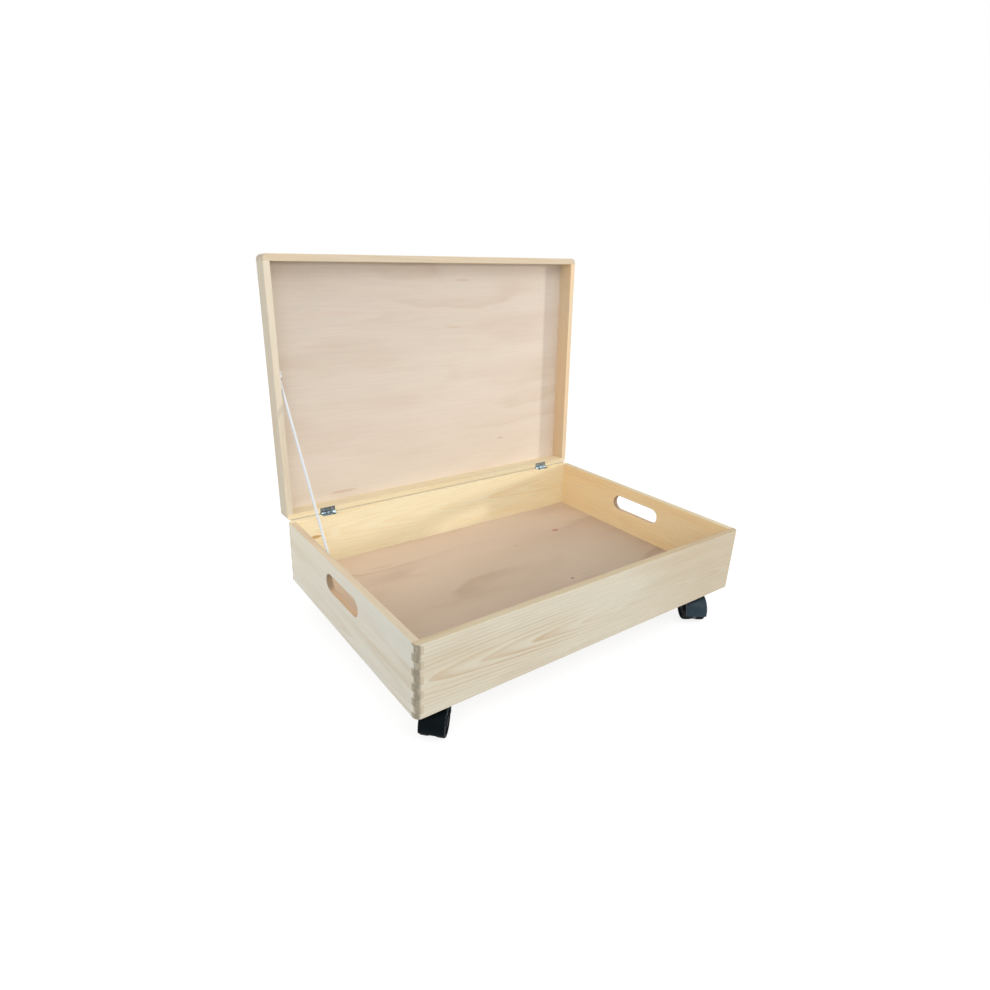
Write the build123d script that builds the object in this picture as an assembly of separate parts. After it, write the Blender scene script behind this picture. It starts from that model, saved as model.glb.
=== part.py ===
from build123d import *
import math
import os

# Storage chest on castors, standing on the floor with its hinged lid open.
# X runs along the length, Y from front to back and Z up. Z = 0 is the floor.

# Chest box
chest_length = 750.0
chest_depth = 500.0
body_height = 128.0
board_thickness = 12.5
corner_radius = 10.0
edge_round = 1.0

# Finger joints, counted from the rim
finger_height = 12.7
body_rim_finger = 3.4
lid_rim_finger = 8.0

# Plywood floor, let into a groove above the battens that carry the castors
ply_thickness = 4.0
floor_underside_above_edge = 17.0
groove_depth = 5.0
groove_side_clearance = 0.3
groove_top_clearance = 0.2
batten_width = 95.0

# Hand slots in the two ends
slot_length = 125.0
slot_height = 34.0
slot_centre_above_edge = 85.0
slot_edge_round = 2.5

# Lid
lid_inside_depth = 35.0
lid_panel_seat = 6.0
lid_outer_round = 4.0
lid_open_angle = 93.0

# Butt hinges
hinge_length = 32.0
hinge_inset = 86.0
leaf_thickness = 1.2
leaf_setback = 0.3
mortise_end_clearance = 0.1
closed_gap = 0.2
pin_set_in = 0.4
knuckle_radius = 2.7
knuckle_count = 5
knuckle_side_clearance = 0.3
knuckle_leaf_clearance = 0.3
knuckle_wood_clearance = 0.4
hinge_pin_radius = 1.3
hinge_pin_head_radius = 2.0
hinge_pin_head_height = 0.8
running_clearance = 0.05

# Countersunk screws in the hinge leaves
hinge_screw_radius = 1.2
hinge_screw_length = 10.0
hinge_screw_head_radius = 2.4
hinge_screw_head_height = 1.1
hinge_screw_spacing = 18.0
pilot_clearance = 0.05
recess_width = 0.6
recess_depth = 0.6
recess_reach = 1.5

# Cord stay on the left, knotted behind two screw eyes
cord_diameter = 5.0
knot_radius = 5.0
eye_ring_radius = 4.4
eye_wire_radius = 1.2
eye_stem_radius = 1.4
eye_stem_in_wood = 8.0
eye_stand_off = 0.6
eye_seat_gap = 0.2
body_eye_from_front = 338.4
body_eye_above_edge = 110.0
lid_eye_from_hinge_side = 278.7
lid_eye_depth = 26.0

# Twin-wheel swivel castors
castor_inset_x = 65.0
castor_inset_y = 42.0
castor_trail = 23.0
castor_swivel_angles = {
    "front_left": 225.5,
    "front_right": 236.5,
    "rear_left": 52.0,
    "rear_right": 221.0,
}
wheel_radius = 25.0
wheel_width = 15.6
wheel_edge_round = 2.5
wheel_recess_outer_radius = 20.0
wheel_recess_depth = 2.5
wheel_hub_radius = 8.0
axle_radius = 3.0
axle_end_cover = 3.0
axle_end_gap = 0.3
web_thickness = 8.8
web_radius = 24.0
wheel_side_clearance = 0.5
hood_clearance = 0.8
hood_thickness = 2.6
hood_to_plate_gap = 6.6
hood_front_angle = -12.0
hood_rear_angle = 192.0
boss_radius = 8.0
plate_size = 40.0
plate_thickness = 2.0
plate_corner_radius = 4.0
plate_screw_spacing = 29.0
kingpin_radius = 3.5
kingpin_length = 16.5
collar_radius = 7.0
collar_height = 2.6
swivel_face_gap = 0.3
plate_screw_radius = 1.75
plate_screw_length = 14.0
plate_screw_head_radius = 3.4
plate_screw_head_height = 2.0

# Sizes that follow from the ones above
hood_top = 2 * wheel_radius + hood_clearance + hood_thickness
castor_height = hood_top + hood_to_plate_gap + plate_thickness
half_length = chest_length / 2
half_depth = chest_depth / 2
edge_z = castor_height
rim_z = edge_z + body_height
lid_rim_z = rim_z + closed_gap
lid_depth = lid_inside_depth + ply_thickness
hinge_axis_y = half_depth - pin_set_in
hinge_axis_z = rim_z + closed_gap / 2
leaf_front_y = half_depth - board_thickness + leaf_setback
leaf_back_y = hinge_axis_y - knuckle_radius - knuckle_leaf_clearance
hinge_centres_x = (-half_length + hinge_inset, half_length - hinge_inset)
castor_half_width = web_thickness / 2 + wheel_side_clearance + wheel_width

CENTRED = (Align.CENTER, Align.CENTER, Align.CENTER)
STANDING = (Align.CENTER, Align.CENTER, Align.MIN)
HANGING = (Align.CENTER, Align.CENTER, Align.MAX)


def block(x_span, y_span, z_span):
    """A box between two values along each axis."""
    spans = (x_span, y_span, z_span)
    size = [abs(high - low) for low, high in spans]
    middle = [(high + low) / 2 for low, high in spans]
    return Pos(*middle) * Box(*size)


def rod(radius, start, end):
    """A round rod from one point to another."""
    path = Vector(*end) - Vector(*start)
    plane = Plane(origin=start, z_dir=path)
    return plane * Cylinder(radius, path.length, align=STANDING)


# Frames with finger joints

def joint_spans(rim_finger, depth):
    """Finger spans from the rim, as (near, far) distances, the first one cut short."""
    spans = [(0.0, rim_finger)]
    while spans[-1][1] < depth:
        near = spans[-1][1]
        spans.append((near, min(near + finger_height, depth)))
    return spans


def frame_ring(rim, depth, outwards, outer_round):
    """All four boards as one ring, which is open through the middle."""
    far = rim + outwards * depth
    low, high = min(rim, far), max(rim, far)
    outer = block((-half_length, half_length), (-half_depth, half_depth), (low, high))
    outer = fillet(outer.edges().filter_by(Axis.Z), corner_radius)
    rim_edges = outer.faces().sort_by(Axis.Z)[-1 if rim == high else 0].edges()
    outer = fillet(rim_edges, edge_round)
    far_edges = outer.faces().sort_by(Axis.Z)[0 if rim == high else -1].edges()
    outer = fillet(far_edges, outer_round)
    inner_x = half_length - board_thickness
    inner_y = half_depth - board_thickness
    return outer - block((-inner_x, inner_x), (-inner_y, inner_y), (low, high))


def corner_fingers(rim, outwards, spans):
    """The blocks that fill every corner of the frame at the given spans."""
    blocks = []
    for near, far in spans:
        z_span = (rim + outwards * near, rim + outwards * far)
        for x_sign in (-1, 1):
            for y_sign in (-1, 1):
                x_span = (x_sign * half_length, x_sign * (half_length - board_thickness))
                y_span = (y_sign * half_depth, y_sign * (half_depth - board_thickness))
                blocks.append(block(sorted(x_span), sorted(y_span), sorted(z_span)))
    return blocks


def frame_boards(rim, depth, outwards, rim_finger, outer_round):
    """Front, back, left and right boards of a finger-jointed frame."""
    ring = frame_ring(rim, depth, outwards, outer_round)
    spans = joint_spans(rim_finger, depth)
    long_fingers = corner_fingers(rim, outwards, spans[0::2])
    side_fingers = corner_fingers(rim, outwards, spans[1::2])
    z_span = sorted((rim, rim + outwards * depth))
    inner_x = half_length - board_thickness
    inner_y = half_depth - board_thickness
    slabs = {
        "front": block((-half_length, half_length), (-half_depth, -inner_y), z_span),
        "back": block((-half_length, half_length), (inner_y, half_depth), z_span),
        "left": block((-half_length, -inner_x), (-half_depth, half_depth), z_span),
        "right": block((inner_x, half_length), (-half_depth, half_depth), z_span),
    }
    boards = {}
    for side, slab in slabs.items():
        notches = side_fingers if side in ("front", "back") else long_fingers
        boards[side] = ring & (slab - notches)
    return boards


# Box

def floor_size():
    """Length and depth of the plywood floor, tongue included."""
    reach = groove_depth - groove_side_clearance - board_thickness
    return chest_length + 2 * reach, chest_depth + 2 * reach


def floor_underside():
    return edge_z + floor_underside_above_edge


def bottom_panel():
    length, depth = floor_size()
    return Pos(0, 0, floor_underside()) * Box(length, depth, ply_thickness, align=STANDING)


def floor_groove():
    """The space that the floor takes in the boards, with its clearance."""
    length, depth = floor_size()
    grown = 2 * groove_side_clearance
    height = ply_thickness + groove_top_clearance
    return Pos(0, 0, floor_underside()) * Box(length + grown, depth + grown, height, align=STANDING)


def batten(x_sign):
    """A batten under the floor from front board to back board."""
    inner_x = half_length - board_thickness
    inner_y = half_depth - board_thickness
    x_span = sorted((x_sign * inner_x, x_sign * (inner_x - batten_width)))
    piece = block(x_span, (-inner_y, inner_y), (edge_z, floor_underside()))
    pilots = [plate_screw_shank(point, pilot_clearance)
              for name in castor_swivel_angles for point in plate_screw_points(name)]
    return piece - pilots


def hand_slot(board, x_sign):
    """Cut a hand slot with rounded edges through an end board."""
    centre = (x_sign * half_length, 0, edge_z + slot_centre_above_edge)
    plane = Plane(origin=centre, x_dir=(0, 1, 0), z_dir=(x_sign, 0, 0))
    tool = extrude(plane * SlotOverall(slot_length, slot_height), board_thickness, both=True)
    board = board - tool
    rims = [edge for edge in board.edges() if is_slot_edge(edge, centre[2])]
    return fillet(rims, slot_edge_round)


def is_slot_edge(edge, slot_z):
    """Whether an edge runs round the mouth of a hand slot."""
    box = edge.bounding_box()
    margin = 1.0
    inside_y = max(abs(box.min.Y), abs(box.max.Y)) < slot_length / 2 + margin
    inside_z = abs(edge.center().Z - slot_z) < slot_height / 2 + margin
    along_wall = box.size.X < margin
    return inside_y and inside_z and along_wall


def hinge_mortises(rim, outwards):
    """Recesses in a rim for the leaves, with the space round the knuckles and pin heads."""
    length = hinge_length + 2 * mortise_end_clearance
    z_span = sorted((rim, rim + outwards * leaf_thickness))
    y_span = (half_depth - board_thickness, hinge_axis_y)
    recesses = [block((x - length / 2, x + length / 2), y_span, z_span) for x in hinge_centres_x]
    half = length / 2 + hinge_pin_head_height
    for x in hinge_centres_x:
        ends = [(x + sign * half, hinge_axis_y, hinge_axis_z) for sign in (-1, 1)]
        recesses.append(rod(knuckle_radius + knuckle_wood_clearance, *ends))
    return recesses


def box_boards():
    boards = frame_boards(rim_z, body_height, -1, body_rim_finger, edge_round)
    boards = {side: board - floor_groove() for side, board in boards.items()}
    boards["left"] = hand_slot(boards["left"], -1)
    boards["right"] = hand_slot(boards["right"], 1)
    boards["left"] -= eye_pilot(body_eye_point())
    boards["back"] -= hinge_mortises(rim_z, -1)
    boards["back"] -= [screw_body(x, rim_z, -1, pilot_clearance) for x in hinge_screw_places()]
    return boards


# Lid, made closed and then opened about the hinge axis

def lid_boards():
    boards = frame_boards(lid_rim_z, lid_depth, 1, lid_rim_finger, lid_outer_round)
    boards = {side: board - lid_panel_space() for side, board in boards.items()}
    boards["back"] -= hinge_mortises(lid_rim_z, 1)
    boards["back"] -= [screw_body(x, lid_rim_z, 1, pilot_clearance) for x in hinge_screw_places()]
    boards["left"] -= shut(eye_pilot(lid_eye_point()))
    return boards


def lid_panel_space():
    """The rebate round the top of the lid frame, filled by the panel."""
    grown = 2 * (lid_panel_seat - board_thickness)
    height = Pos(0, 0, lid_rim_z + lid_inside_depth)
    return height * Box(chest_length + grown, chest_depth + grown, ply_thickness, align=STANDING)


def lid_panel():
    return lid_panel_space()


def turned(shape, degrees):
    """A shape turned about the hinge axis."""
    to_axis = Pos(0, hinge_axis_y, hinge_axis_z)
    return to_axis * Rot(degrees, 0, 0) * to_axis.inverse() * shape


def opened(shape):
    return turned(shape, -lid_open_angle)


def shut(shape):
    return turned(shape, lid_open_angle)


# Hinges

def knuckle_spans(centre_x, owned):
    """X spans of every other knuckle; owned is 0 for the box and 1 for the lid."""
    pitch = hinge_length / knuckle_count
    first = centre_x - hinge_length / 2
    spans = []
    for index in range(owned, knuckle_count, 2):
        start = first + index * pitch + knuckle_side_clearance / 2
        spans.append((start, start + pitch - knuckle_side_clearance))
    return spans


def hinge_leaf(centre_x, side):
    """One leaf with its knuckles; side is -1 under the axis and 1 over it."""
    near = side * closed_gap / 2
    z_span = sorted((hinge_axis_z + near, hinge_axis_z + near + side * leaf_thickness))
    x_span = (centre_x - hinge_length / 2, centre_x + hinge_length / 2)
    leaf = block(x_span, (leaf_front_y, leaf_back_y), z_span)
    for low_x, high_x in knuckle_spans(centre_x, 0 if side < 0 else 1):
        leaf += block((low_x, high_x), (leaf_back_y, hinge_axis_y), z_span)
        ends = [(x, hinge_axis_y, hinge_axis_z) for x in (low_x, high_x)]
        leaf += rod(knuckle_radius, *ends)
    leaf -= rod(hinge_pin_radius + running_clearance,
                (x_span[0], hinge_axis_y, hinge_axis_z), (x_span[1], hinge_axis_y, hinge_axis_z))
    for place in hinge_screw_places():
        leaf -= screw_body(place, hinge_axis_z + near, side, pilot_clearance)
    return leaf


def hinge_pin(centre_x):
    """A pin with a small head at each end of the knuckles."""
    half = hinge_length / 2
    ends = [(centre_x + sign * half, hinge_axis_y, hinge_axis_z) for sign in (-1, 1)]
    pin = rod(hinge_pin_radius, ends[0], ends[1])
    for sign, end in zip((-1, 1), ends):
        tip = (end[0] + sign * hinge_pin_head_height, end[1], end[2])
        pin += rod(hinge_pin_head_radius, end, tip)
    return pin


def hinge_screw_places():
    """X values of the screws in one leaf of each hinge."""
    return [x + sign * hinge_screw_spacing / 2 for x in hinge_centres_x for sign in (-1, 1)]


def screw_y():
    return (leaf_front_y + leaf_back_y) / 2


def screw_body(x, face_z, side, clearance=0.0):
    """A countersunk screw from a leaf's face into the wood beyond it."""
    head_top = (x, screw_y(), face_z)
    plane = Plane(origin=head_top, z_dir=(0, 0, side))
    cone = Cone(hinge_screw_head_radius + clearance, hinge_screw_radius + clearance,
                hinge_screw_head_height, align=STANDING)
    shank = Cylinder(hinge_screw_radius + clearance, hinge_screw_length, align=STANDING)
    return plane * (cone + shank)


def hinge_screw(x, face_z, side):
    """A countersunk screw with a cross recess in its head."""
    recess_z = sorted((face_z, face_z + side * recess_depth))
    half = recess_width / 2
    y = screw_y()
    cross = [
        block((x - recess_reach, x + recess_reach), (y - half, y + half), recess_z),
        block((x - half, x + half), (y - recess_reach, y + recess_reach), recess_z),
    ]
    return screw_body(x, face_z, side) - cross


# Cord stay

def body_eye_point():
    """Centre of the ring of the eye on the left board."""
    off_wall = eye_stand_off + eye_ring_radius + eye_wire_radius
    x = -half_length + board_thickness + off_wall
    return Vector(x, -half_depth + body_eye_from_front, edge_z + body_eye_above_edge)


def lid_eye_point():
    """Centre of the ring of the eye on the lid, with the lid open."""
    closed = Vertex(body_eye_point().X, half_depth - lid_eye_from_hinge_side, lid_rim_z + lid_eye_depth)
    return opened(closed).center()


def cord_direction():
    return (lid_eye_point() - body_eye_point()).normalized()


def eye_stem(centre, radius):
    """The straight shank of a screw eye, in the wood and up to the ring."""
    wall_x = -half_length + board_thickness
    start = (wall_x - eye_stem_in_wood, centre.Y, centre.Z)
    return rod(radius, start, (centre.X - eye_ring_radius, centre.Y, centre.Z))


def eye_pilot(centre):
    return eye_stem(centre, eye_stem_radius + pilot_clearance)


def screw_eye(centre):
    """A ring square to the cord, on a shank that is screwed into the board."""
    ring = Plane(origin=centre, z_dir=cord_direction()) * Torus(eye_ring_radius, eye_wire_radius)
    return ring + eye_stem(centre, eye_stem_radius)


def knot_offset():
    """How far past a ring its knot's centre lies, resting on the ring."""
    reach = eye_wire_radius + eye_seat_gap + knot_radius
    return math.sqrt(reach ** 2 - eye_ring_radius ** 2)


def knot_points():
    """Centres of the knots below the box's eye and above the lid's eye."""
    past_ring = cord_direction() * knot_offset()
    return body_eye_point() - past_ring, lid_eye_point() + past_ring


def stay_cord():
    """A straight cord between the eyes with a round knot behind each one."""
    low, high = knot_points()
    cord = rod(cord_diameter / 2, tuple(low), tuple(high))
    for end in (low, high):
        cord += Pos(*end) * Sphere(knot_radius)
    return cord


# Castors, each made about its own swivel axis with its wheels towards local +X

def castor_place(name):
    """Location of a castor's swivel axis at the underside of the box."""
    x = (half_length - castor_inset_x) * (-1 if name.endswith("left") else 1)
    y = (half_depth - castor_inset_y) * (-1 if name.startswith("front") else 1)
    return Vector(x, y, 0)


def plate_location(name):
    return Location(castor_place(name))


def swivel_location(name):
    """Location that also turns the castor to its swivel angle."""
    return plate_location(name) * Rot(0, 0, castor_swivel_angles[name])


def castor_plate():
    """A square steel plate with rounded corners, four screw holes and the pin's hole."""
    outline = RectangleRounded(plate_size, plate_size, plate_corner_radius)
    half = plate_screw_spacing / 2
    outline -= [Pos(x, y) * Circle(plate_screw_radius + pilot_clearance)
                for x in (-half, half) for y in (-half, half)]
    outline -= Circle(kingpin_radius)
    return Pos(0, 0, castor_height - plate_thickness) * extrude(outline, plate_thickness)


def kingpin():
    """The upright pin riveted flush into the plate, with a collar under the plate."""
    pin = Pos(0, 0, castor_height) * Cylinder(kingpin_radius, kingpin_length, align=HANGING)
    under_plate = Pos(0, 0, castor_height - plate_thickness)
    return pin + under_plate * Cylinder(collar_radius, collar_height, align=HANGING)


def across(radius, half_width):
    """A round disc or bar on the axle line, centred between the wheels."""
    turn = Pos(castor_trail, 0, wheel_radius) * Rot(90, 0, 0)
    return turn * Cylinder(radius, 2 * half_width, align=CENTRED)


def hood_shell():
    """The curved cover over the top of both wheels."""
    inner = wheel_radius + hood_clearance
    outer = inner + hood_thickness
    front = math.radians(180 - hood_front_angle)
    rear = math.radians(180 - hood_rear_angle)
    middle = (front + rear) / 2

    def at(radius, angle):
        return castor_trail + radius * math.cos(angle), wheel_radius + radius * math.sin(angle)

    outline = [
        ThreePointArc(at(outer, front), at(outer, middle), at(outer, rear)),
        Line(at(outer, rear), at(inner, rear)),
        ThreePointArc(at(inner, rear), at(inner, middle), at(inner, front)),
        Line(at(inner, front), at(outer, front)),
    ]
    face = Plane.XZ * make_face(outline)
    return extrude(face, castor_half_width, both=True)


def castor_hood():
    """Hood, web between the wheels and boss round the kingpin, moulded as one."""
    boss_top = castor_height - plate_thickness - collar_height - swivel_face_gap
    boss = Pos(0, 0, boss_top) * Cylinder(boss_radius, boss_top - wheel_radius, align=HANGING)
    wheel_space = across(wheel_radius + hood_clearance, castor_half_width)
    web_space = across(wheel_radius + hood_clearance, web_thickness / 2)
    boss -= wheel_space - web_space
    web = across(web_radius, web_thickness / 2)
    upper_web = across(wheel_radius + hood_clearance + hood_thickness / 2, web_thickness / 2)
    top_half = block((castor_trail - 2 * wheel_radius, castor_trail + 2 * wheel_radius),
                     (-wheel_radius, wheel_radius), (wheel_radius, castor_height))
    web += upper_web & top_half
    hood = hood_shell() + web + boss
    pin_space = Pos(0, 0, castor_height) * Cylinder(
        kingpin_radius + running_clearance, kingpin_length + swivel_face_gap, align=HANGING)
    return hood - pin_space - across(axle_radius, castor_half_width)


def axle_half_length():
    return castor_half_width - axle_end_cover - wheel_recess_depth


def castor_axle():
    return across(axle_radius, axle_half_length())


def castor_wheel(side):
    """One wheel with a dished outer face and a closed hub; side is -1 or 1 along the axle."""
    wheel = Cylinder(wheel_radius, wheel_width, align=STANDING)
    wheel = fillet(wheel.edges(), wheel_edge_round)
    dish = Cylinder(wheel_recess_outer_radius, wheel_recess_depth, align=HANGING)
    dish -= Cylinder(wheel_hub_radius, wheel_recess_depth, align=HANGING)
    wheel -= Pos(0, 0, wheel_width) * dish
    bore_depth = axle_half_length() - web_thickness / 2 - wheel_side_clearance + axle_end_gap
    wheel -= Cylinder(axle_radius + running_clearance, bore_depth, align=STANDING)
    start = side * (web_thickness / 2 + wheel_side_clearance)
    return Plane(origin=(castor_trail, start, wheel_radius), z_dir=(0, side, 0)) * wheel


def plate_screw_points(name):
    """Centres of a castor's four plate screws."""
    centre = castor_place(name)
    half = plate_screw_spacing / 2
    return [(centre.X + x, centre.Y + y) for x in (-half, half) for y in (-half, half)]


def plate_screw_shank(point, clearance=0.0):
    bottom = castor_height - plate_thickness
    radius = plate_screw_radius + clearance
    return Pos(*point, bottom) * Cylinder(radius, plate_screw_length, align=STANDING)


def plate_screw(point):
    """A round-head screw up through the plate into the batten."""
    head = Pos(*point, castor_height - plate_thickness) * Cylinder(
        plate_screw_head_radius, plate_screw_head_height, align=HANGING)
    head = fillet(head.edges().sort_by(Axis.Z)[0], plate_screw_head_height / 2)
    return head + plate_screw_shank(point)


# The whole chest

def box_pieces():
    pieces = {f"{side}_board": board for side, board in box_boards().items()}
    pieces["bottom_panel"] = bottom_panel()
    pieces["left_castor_batten"] = batten(-1)
    pieces["right_castor_batten"] = batten(1)
    pieces["hinge_body_screws"] = Compound([hinge_screw(x, rim_z, -1) for x in hinge_screw_places()])
    pieces["stay_body_eye"] = screw_eye(body_eye_point())
    for side, x in zip(("left", "right"), hinge_centres_x):
        pieces[f"{side}_hinge_body_leaf"] = hinge_leaf(x, -1)
        pieces[f"{side}_hinge_pin"] = hinge_pin(x)
    return pieces


def lid_pieces():
    """Every piece that turns with the lid, in its open place."""
    pieces = {f"lid_{side}_board": board for side, board in lid_boards().items()}
    pieces["lid_panel"] = lid_panel()
    pieces["hinge_lid_screws"] = Compound([hinge_screw(x, lid_rim_z, 1) for x in hinge_screw_places()])
    for side, x in zip(("left", "right"), hinge_centres_x):
        pieces[f"{side}_hinge_lid_leaf"] = hinge_leaf(x, 1)
    pieces = {name: opened(piece) for name, piece in pieces.items()}
    pieces["stay_lid_eye"] = screw_eye(lid_eye_point())
    return pieces


def castor_pieces():
    pieces = {}
    screws = []
    for name in castor_swivel_angles:
        pieces[f"{name}_castor_plate"] = plate_location(name) * castor_plate()
        pieces[f"{name}_castor_kingpin"] = plate_location(name) * kingpin()
        pieces[f"{name}_castor_hood"] = swivel_location(name) * castor_hood()
        pieces[f"{name}_castor_axle"] = swivel_location(name) * castor_axle()
        pieces[f"{name}_inner_wheel"] = swivel_location(name) * castor_wheel(-1)
        pieces[f"{name}_outer_wheel"] = swivel_location(name) * castor_wheel(1)
        screws += [plate_screw(point) for point in plate_screw_points(name)]
    pieces["castor_plate_screws"] = Compound(screws)
    return pieces


def origin_shift(pieces):
    """The move along Y that puts the origin under the middle of the outline."""
    boxes = [piece.bounding_box() for piece in pieces.values()]
    low = min(box.min.Y for box in boxes)
    high = max(box.max.Y for box in boxes)
    return Pos(0, -(low + high) / 2, 0)


def main():
    pieces = {**box_pieces(), **lid_pieces(), **castor_pieces()}
    shift = origin_shift(pieces)
    pieces["stay_cord"] = stay_cord()
    os.makedirs("parts", exist_ok=True)
    for name, piece in pieces.items():
        export_step(shift * piece, f"parts/{name}.step")
    print("origin shift along Y", shift.position.Y)
    print("hinge axis", hinge_axis_y + shift.position.Y, hinge_axis_z)
    for end in knot_points():
        print("knot", end.X, end.Y + shift.position.Y, end.Z)
    for name in castor_swivel_angles:
        centre = castor_place(name)
        print(name, "swivel axis", centre.X, centre.Y + shift.position.Y)


main()
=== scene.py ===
"""Looks of a pine storage chest on castors that stands with its lid open.

All lengths are in metres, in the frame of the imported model: X runs along the
chest, Y from front to back and Z up from the floor.
"""

import logging
import math
from dataclasses import dataclass
from enum import Enum
from typing import Any, Callable, Iterable, Sequence

import bmesh
import bpy
from mathutils import Matrix, Vector


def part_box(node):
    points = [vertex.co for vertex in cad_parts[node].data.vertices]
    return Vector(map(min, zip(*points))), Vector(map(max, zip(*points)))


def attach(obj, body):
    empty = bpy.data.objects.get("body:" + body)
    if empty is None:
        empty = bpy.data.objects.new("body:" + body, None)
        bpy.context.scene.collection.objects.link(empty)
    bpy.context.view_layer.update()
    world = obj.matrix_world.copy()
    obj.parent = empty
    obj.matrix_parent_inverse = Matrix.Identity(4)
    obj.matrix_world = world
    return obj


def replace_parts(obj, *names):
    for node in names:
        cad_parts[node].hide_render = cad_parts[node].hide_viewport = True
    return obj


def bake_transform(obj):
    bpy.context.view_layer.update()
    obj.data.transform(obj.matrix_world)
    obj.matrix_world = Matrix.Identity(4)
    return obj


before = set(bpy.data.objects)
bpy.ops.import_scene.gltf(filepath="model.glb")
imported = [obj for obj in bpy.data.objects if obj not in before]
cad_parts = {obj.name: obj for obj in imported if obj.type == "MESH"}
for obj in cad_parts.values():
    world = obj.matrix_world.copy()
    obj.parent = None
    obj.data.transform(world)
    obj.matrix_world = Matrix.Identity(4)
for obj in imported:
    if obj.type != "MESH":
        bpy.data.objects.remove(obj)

Point = tuple[float, float, float]
Colour = tuple[float, float, float]
Socket = bpy.types.NodeSocket
Input = Socket | float | Sequence[float]

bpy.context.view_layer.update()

LOG = logging.getLogger("storage_chest")


# Sizes that several sub-assemblies share

HALF_LENGTH = 0.375
HALF_DEPTH = 0.25
MIDDLE_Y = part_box("front_board")[0][1] + HALF_DEPTH
BOARD = 0.0125
BODY_RIM_Z = 0.190
LID_RIM_Z = 0.1902
HINGE_Y = MIDDLE_Y + HALF_DEPTH - 0.0004
HINGE_Z = 0.1901
OPEN_ANGLE = math.radians(93)
FINGER_PITCH = 0.0127
SMOOTH_LIMIT = math.radians(38)
SHARP_LIMIT = math.radians(40)
FLAT_LIMIT = math.radians(0.6)
MERGE_DISTANCE = 1e-7

# Where marks and painted shade on the wood start and end to fade, and their colours

GLUE_LINE = (0.0001, 0.00045)
# Painted shade of the seam between lid and box
SEAM_SHADE_SPAN = (0.0007, 0.0027)
SLOT_ENDS = (0.068, 0.072)
SLOT_TOP = (0.174, 0.178)
SLOT_BOTTOM = (0.105, 0.110)
# Painted shade at the back end of a hand slot
SLOT_SHADE_SPAN = (MIDDLE_Y + 0.042, MIDDLE_Y + 0.060)
CORNER_SLACK = 0.0002
# Colour of the painted seam shade, then of the glue lines
SEAM_SHADE_COLOUR = (0.16, 0.13, 0.10)
GLUE_COLOUR = (0.16, 0.12, 0.08)

# Periods of the patterns in each metre: along, across and through a board

BENDS = (2.4, 15, 15)
SHIVERS = (14, 70, 70)
STRONG_PATCHES = (4, 20, 20)
WARM_STREAKS = (3, 24, 24)
FIBRES = (20, 520, 520)
HAIRS = (90, 3200, 3200)
END_PORES = (900, 900, 900)
CORNER_GRIME = (160, 160, 75)
VENEER_WAVES = (1.6, 5.5, 1)
VENEER_RIPPLES = (6, 34, 1)
VENEER_PATCHES = (2.6, 7, 1)
VENEER_CLOUDS = (2.2, 4.5, 1)
VENEER_PORES = (70, 1300, 1)
VENEER_FIBRES = (11, 330, 1)
BRUSH_MARKS = (150, 2400, 2400)
PLASTIC_DUST = (90, 90, 90)
PLASTIC_STIPPLE = (1500, 1500, 1500)
PLASTIC_SCUFFS = (700, 700, 60)
CORD_THREADS = (160, 9000, 1)

# How late wood darkens through one growth ring, and how a veneer band fades

RING_CURVE = ((0, 0.05), (0.22, 0.10), (0.54, 0.50), (0.78, 0.95), (0.93, 0.85), (1, 0.05))
BAND_CURVE = ((0, 0), (0.45, 0.15), (0.80, 0.85), (0.88, 1), (0.93, 0.6), (1, 0))

# Radius and height in millimetres of a wheel's outline, from the end of its bore to the hub cap

WHEEL_OUTLINE = (
    (0, 10.4), (3.05, 10.4), (3.05, 0.25), (3.3, 0), (22.4, 0), (23.6, 0.35), (24.5, 1.2), (24.86, 2.4),
    (24.93, 4.0), (24.93, 7.5), (25.0, 7.65), (25.0, 7.95), (24.93, 8.1), (24.93, 11.6), (24.86, 13.2),
    (24.5, 14.4), (23.6, 15.25), (22.4, 15.6), (20.8, 15.6), (20.3, 15.4), (20.1, 14.9), (19.9, 13.7),
    (19.4, 13.2), (18.6, 13.1), (14.8, 13.1), (14.5, 12.95), (14.3, 12.6), (13.5, 12.6), (13.3, 12.95),
    (13.0, 13.1), (9.2, 13.1), (8.5, 13.3), (8.2, 13.9), (8.0, 15.0), (7.7, 15.45), (7.1, 15.6), (6.0, 15.6),
    (5.8, 15.35), (5.5, 15.35), (5.3, 15.6), (4.0, 15.85), (2.0, 16.0), (0, 16.05))


def opened(point: Sequence[float]) -> Point:
    """Where a point of the shut lid lies when the lid stands open."""
    hinge = Vector((0, HINGE_Y, HINGE_Z))
    return tuple(hinge + Matrix.Rotation(-OPEN_ANGLE, 3, "X") @ (Vector(point) - hinge))


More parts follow.
